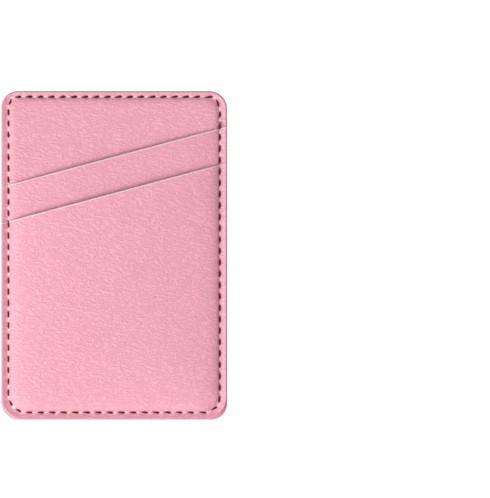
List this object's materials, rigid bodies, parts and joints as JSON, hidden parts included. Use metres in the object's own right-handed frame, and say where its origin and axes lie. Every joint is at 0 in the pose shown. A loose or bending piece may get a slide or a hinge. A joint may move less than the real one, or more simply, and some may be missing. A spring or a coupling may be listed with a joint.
{
  "type": "stick-on phone card holder",
  "caption": "Flat sewn pouch with two slanted card pockets and an adhesive back that sticks to a phone.",
  "frame": {"origin": "centre of the back of the holder, on the surface that its release liner lies on", "axes": "+X to the holder's right seen from the front, +Y along its length towards the open end of the pockets, +Z out of the front face"},
  "size_m": [0.066, 0.096, 0.0057],
  "materials": {
    "leather": "fine-grained soft pink synthetic leather, satin",
    "thread": "twisted maroon sewing thread",
    "board": "grey stiffener board",
    "adhesive": "translucent white double-sided adhesive film",
    "liner_paper": "smooth off-white release paper"
  },
  "bodies": {
    "root": {"release_liner": "liner_paper", "adhesive_sheet": "adhesive", "back_panel": "leather", "stiffener_board": "board", "top_panel": "leather", "rear_pocket": "leather", "front_pocket": "leather", "needle_thread": "thread", "bobbin_thread": "thread"}
  },
  "joints": []
}
